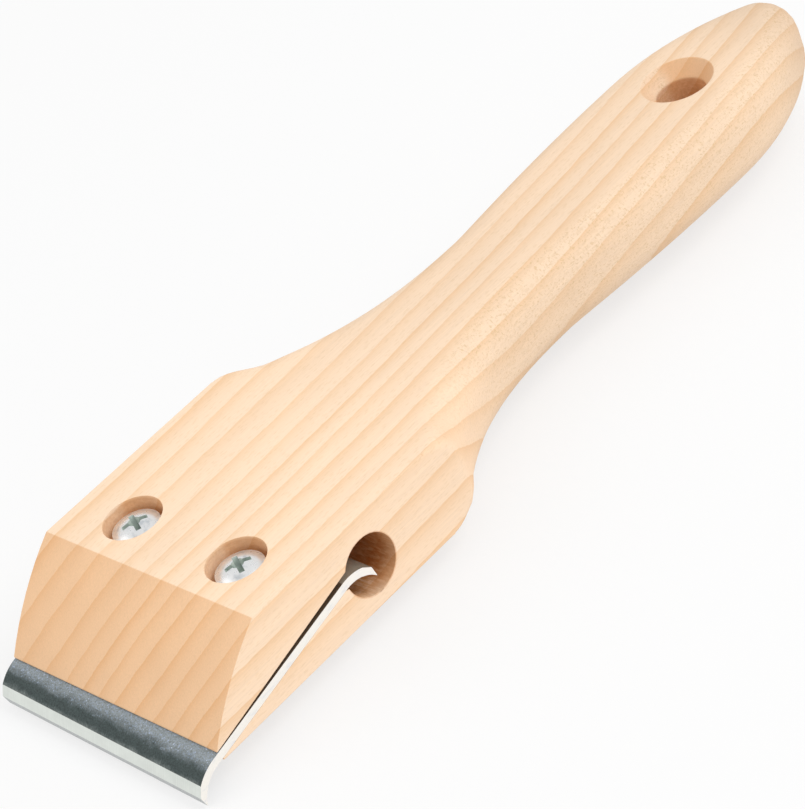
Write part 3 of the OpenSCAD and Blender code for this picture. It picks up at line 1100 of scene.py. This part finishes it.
@dataclass
class Screw:
    """A zinc-plated pan-head machine screw with a cross recess.

    Lengths are in millimetres, and heights are above the head's seat. foot is
    the recess's width at its bottom and recess_r the radius that holds it, as
    shares of recess_w. core is the radius of its middle as a share of a
    wing's thickness, core_flare how much wider that is at the top, and groove
    the thread's inner radius as a share of thread_r. Only the dome's faces
    point up more than wall_facing and lie no deeper than dome_deep.
    """

    zinc: Material
    # Darker, duller zinc for the cross recess: painted shade in the recess.
    recess_shade_zinc: Material
    thread_r: float = 1.95
    length: float = 12.0
    chamfer: float = 0.5
    pitch: float = 0.7
    groove: float = 0.86
    head_r: float = 4.15
    rim: float = 2.1
    rise: float = 3.3
    rim_ease: float = 0.15
    dome_rings: int = 8
    recess_w: float = 4.9
    recess_deep: float = 2.3
    foot: float = 0.36
    wing: float = 0.9
    core: float = 0.55
    core_flare: float = 2.6
    above: float = 0.6
    recess_r: float = 0.55
    floor_slack: float = 0.1
    wall_facing: float = 0.6
    dome_deep: float = 1.0
    ease: float = 0.07
    ease_turn: float = 35.0
    smooth: float = 32.0

    def head(self) -> Piece:
        """Builds the pan head: a rim, a rounded shoulder and a dome."""
        piece = Bench.rod("screw_head", (0, 0, self.rim / 2), self.head_r, self.rim, sides=72)
        dome_half = self.head_r - self.rim_ease
        dome_t = self.rise - self.rim
        dome_r = (dome_half**2 + dome_t**2) / (2 * dome_t)
        rings = [(dome_half, self.rim)]
        for k in range(1, self.dome_rings):
            radius = dome_half * (1 - k / self.dome_rings)
            rings.append((radius, self.rise - dome_r + math.sqrt(dome_r**2 - radius**2)))
        with Bench.shaping(piece):
            Bench.pick_faces(piece, lambda face: face.normal.z > TURNED)
            now_r, now_z = self.head_r, self.rim
            for radius, height in rings:
                Bench.raise_faces(height - now_z)
                Bench.widen((radius / now_r, radius / now_r, 1), height)
                now_r, now_z = radius, height
        return piece

    def recess(self) -> list[Piece]:
        """Builds the cutters of the cross recess: two tapered wings and a tapered middle."""
        foot = self.recess_w * self.foot
        top = self.rise + self.above
        low = self.rise - self.recess_deep
        spread = (self.recess_w - foot) / self.recess_deep
        mouth = foot + spread * (top - low)
        tools = []
        for turn in (0, 90):
            wing = Bench.block("wing", (0, 0, (low + top) / 2), (foot, self.wing, top - low))
            with Bench.shaping(wing):
                Bench.pick_faces(wing, lambda face: face.normal.z > TURNED)
                Bench.widen((mouth / foot, 1, 1), top)
            Bench.place(wing, Matrix.Rotation(math.radians(turn), 4, "Z"))
            tools.append(wing)
        core = Bench.rod("core", (0, 0, (low + top) / 2), self.wing * self.core, top - low, sides=24)
        with Bench.shaping(core):
            Bench.pick_faces(core, lambda face: face.normal.z > TURNED)
            Bench.widen((self.core_flare, self.core_flare, 1), top)
        tools.append(core)
        return tools

    def shank(self) -> Piece:
        """Builds the threaded shank, its grooves a pitch apart."""
        run = self.length - self.chamfer
        piece = Bench.rod("screw_shank", (0, 0, -run / 2), self.thread_r, run, sides=40)
        with Bench.shaping(piece):
            Bench.pick_faces(piece, lambda face: face.normal.z < -TURNED)
            Bench.raise_faces(-self.chamfer)
            ratio = (self.thread_r - self.chamfer) / self.thread_r
            Bench.widen((ratio, ratio, 1))
        turns = int(run / self.pitch)
        for k in range(1, 2 * turns):
            Bench.slice(piece, (0, 0, -k * self.pitch / 2 * MM), (0, 0, 1), trim=False)
        levels = [-(k + 0.5) * self.pitch * MM for k in range(turns)]
        with Bench.shaping(piece, "EDGE"):
            Bench.pick_edges(piece, lambda edge: any(self.is_level(edge, level) for level in levels))
            Bench.widen((self.groove, self.groove, 1))
        return piece

    @staticmethod
    def is_level(edge: Edge, level: float) -> bool:
        """Tells whether an edge runs round the shank at a height in metres."""
        return all(abs(vert.co.z - level) < 10 * ON_PLANE for vert in edge.verts)

    def is_recessed(self, face: bpy.types.MeshPolygon) -> bool:
        """Tells whether a face is a wall or the floor of the cross recess."""
        x, y, z = face.center / MM
        floor = self.rise - self.recess_deep - self.floor_slack
        inside = math.hypot(x, y) < self.recess_w * self.recess_r and z > floor
        return inside and (face.normal.z < self.wall_facing or z < self.rise - self.dome_deep)

    def pattern(self) -> Piece:
        """Builds one screw on its own axis, its seat at the height of 0."""
        head = self.head()
        Bench.cut(head, *self.recess())
        Bench.ease_edges(head, self.ease, self.ease_turn)
        piece = Bench.join("screw_pattern", [head, self.shank()])
        Bench.coat(piece, self.zinc, self.recess_shade_zinc)
        # The recess's walls and floor take the darker zinc, painted shade in the recess.
        for face in piece.data.polygons:
            face.material_index = int(self.is_recessed(face))
        Bench.smooth(piece, self.smooth)
        return piece


@dataclass
class Nut:
    """A thin square nut with its edges eased, in millimetres."""

    zinc: Material
    width: float = 7.0
    thick: float = 2.2
    bore_r: float = 2.0
    ease: float = 0.14
    ease_turn: float = 40.0
    smooth: float = 32.0

    def pattern(self) -> Piece:
        """Builds one nut on its own axis, its lower face at the height of 0."""
        piece = Bench.block("nut_pattern", (0, 0, self.thick / 2), (self.width, self.width, self.thick))
        Bench.cut(piece, Bench.rod("bore", (0, 0, self.thick / 2), self.bore_r, self.thick * 3, sides=48))
        Bench.ease_edges(piece, self.ease, self.ease_turn)
        Bench.coat(piece, self.zinc)
        Bench.smooth(piece, self.smooth)
        return piece


@dataclass
class Fixings:
    """The two screws that squeeze the saw cut on the blade, and their nuts.

    Places are in millimetres, the recesses' turns in degrees, the left one
    first, and sides holds each screw's node, its nut's node and its body.
    """

    zinc: Material
    recess_shade_zinc: Material
    gap: float = 25.0
    at_y: float = -60.64949
    seat_z: float = 16.43134
    nut_z: float = 4.33134
    turns: tuple[float, float] = (-24.0, -26.0)
    sides: tuple[tuple[str, str, Body], ...] = (
        ("screw_left", "nut_left", Body.LEFT),
        ("screw_right", "nut_right", Body.RIGHT),
    )

    def fit(self, piece: Piece, node: str, body: Body, matrix: Matrix) -> Piece:
        """Puts a copy of a pattern in place of its CAD node.

        Args:
            piece: The pattern's copy.
            node: The CAD node that it stands for.
            body: The body that it moves with.
            matrix: Where it goes.

        Returns:
            The same piece, dressed.
        """
        Bench.place(piece, matrix)
        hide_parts(node)
        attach(piece, body.value)
        return piece

    def build(self) -> list[Piece]:
        """Builds and dresses both screws and both nuts.

        Returns:
            Their pieces.
        """
        screw, nut = Screw(self.zinc, self.recess_shade_zinc).pattern(), Nut(self.zinc).pattern()
        pieces = []
        for side, turn, (screw_node, nut_node, body) in zip((-1, 1), self.turns, self.sides):
            spot = Vector((side * self.gap / 2, self.at_y, 0)) * MM
            turned = Matrix.Rotation(math.radians(turn), 4, "Z")
            at_seat = Matrix.Translation(spot + Vector((0, 0, self.seat_z * MM))) @ turned
            at_nut = Matrix.Translation(spot + Vector((0, 0, self.nut_z * MM)))
            pieces.append(self.fit(Bench.copy(screw, screw_node + "_zinc"), screw_node, body, at_seat))
            pieces.append(self.fit(Bench.copy(nut, nut_node + "_zinc"), nut_node, Body.HANDLE, at_nut))
        for pattern in (screw, nut):
            bpy.data.objects.remove(pattern, do_unlink=True)
        return pieces


@dataclass
class Studio:
    """Plain floor, soft light and the camera at the photograph's place.

    floor_z, eye, lens and sensor are in millimetres, turn in degrees. lamps
    holds each lamp's name, place and size in metres, and power in watts. The
    camera sees the sky white, whatever world_level is.
    """

    floor: Material
    floor_z: float = -0.4
    floor_size: float = 4.0
    world_level: float = 0.72
    lamps: tuple[tuple[str, Point, float, float], ...] = (
        ("lamp_key", (0.55, 0.35, 0.75), 0.7, 4.2),
        ("lamp_fill", (-0.5, -0.6, 0.6), 0.8, 1.3),
    )
    eye: Point = (366.40044, -246.04405, 309.61767)
    turn: Point = (52.97186, 19.17749, 43.77593)
    lens: float = 145.0
    sensor: float = 36.0
    clip: tuple[float, float] = (0.01, 20.0)

    def lay_floor(self) -> None:
        """Lays a wide floor under the tool."""
        Bench.clear()
        spot = (0, 0, self.floor_z * MM)
        bpy.ops.mesh.primitive_grid_add(x_subdivisions=8, y_subdivisions=8, size=self.floor_size, location=spot)
        ground = bpy.context.active_object
        ground.name = "studio_floor"
        ground.data.materials.append(self.floor)
        Bench.settle(ground)

    def light(self) -> None:
        """Sets an even sky and two large soft lamps."""
        world = bpy.data.worlds.new("studio_sky")
        bpy.context.scene.world = world
        world.use_nodes = True
        tree = world.node_tree
        sky = tree.nodes["Background"]
        rays = tree.nodes.new("ShaderNodeLightPath")
        seen = tree.nodes.new("ShaderNodeMath")
        seen.operation = "MAXIMUM"
        tree.links.new(rays.outputs["Is Camera Ray"], seen.inputs[0])
        tree.links.new(rays.outputs["Is Transmission Ray"], seen.inputs[1])
        level = tree.nodes.new("ShaderNodeMapRange")
        tree.links.new(seen.outputs[0], level.inputs[0])
        level.inputs[3].default_value = self.world_level
        level.inputs[4].default_value = 1.0
        tree.links.new(level.outputs[0], sky.inputs[1])
        sky.inputs[0].default_value = (1, 1, 1, 1)
        for name, spot, size, watts in self.lamps:
            lamp = bpy.data.lights.new(name, "AREA")
            lamp.shape = "DISK"
            lamp.size = size
            lamp.energy = watts
            holder = bpy.data.objects.new(name, lamp)
            holder.location = spot
            holder.rotation_euler = (-Vector(spot)).to_track_quat("-Z", "Y").to_euler()
            bpy.context.scene.collection.objects.link(holder)

    def stand_camera(self) -> None:
        """Stands the camera where the photograph was taken from."""
        lens = bpy.data.cameras.new("camera")
        lens.sensor_fit = "VERTICAL"
        lens.sensor_height = self.sensor
        lens.lens = self.lens
        lens.clip_start, lens.clip_end = self.clip
        camera = bpy.data.objects.new("camera", lens)
        camera.location = Vector(self.eye) * MM
        camera.rotation_euler = [math.radians(t) for t in self.turn]
        bpy.context.scene.collection.objects.link(camera)
        bpy.context.scene.camera = camera

    def build(self) -> None:
        """Builds the whole studio."""
        bpy.context.scene.view_settings.view_transform = "Standard"
        self.lay_floor()
        self.light()
        self.stand_camera()


def main() -> None:
    """Builds the scraper's pieces in order and reports each one."""
    logging.basicConfig(level=logging.INFO, format="%(name)s: %(message)s")
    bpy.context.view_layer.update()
    assemblies = (
        Handle(BeechWood().make()),
        Blade(
            (
                MillScaleSteel().make(),
                GroundSteel().make(),
                # The steep land's darker grey is painted shade, as it faces forward and down.
                GroundSteel("blade_land_painted_shade", linear(176, 180, 180), 0.2).make(),
                ShearedSteel().make(),
                GroundSteel("blade_ground_spare", linear(150, 142, 128), 0.2).make(),
            )
        ),
        Fixings(
            ZincPlate().make(),
            # The darker, duller zinc in the screws' cross recesses is painted shade.
            ZincPlate("zinc_recess_painted_shade", linear(186, 198, 190), linear(150, 164, 158), 0.1).make(),
        ),
    )
    for assembly in assemblies:
        for piece in assembly.build():
            LOG.info("%s: %d faces", piece.name, len(piece.data.polygons))
    Studio(StudioFloor().make()).build()


if __name__ == "__main__":
    main()
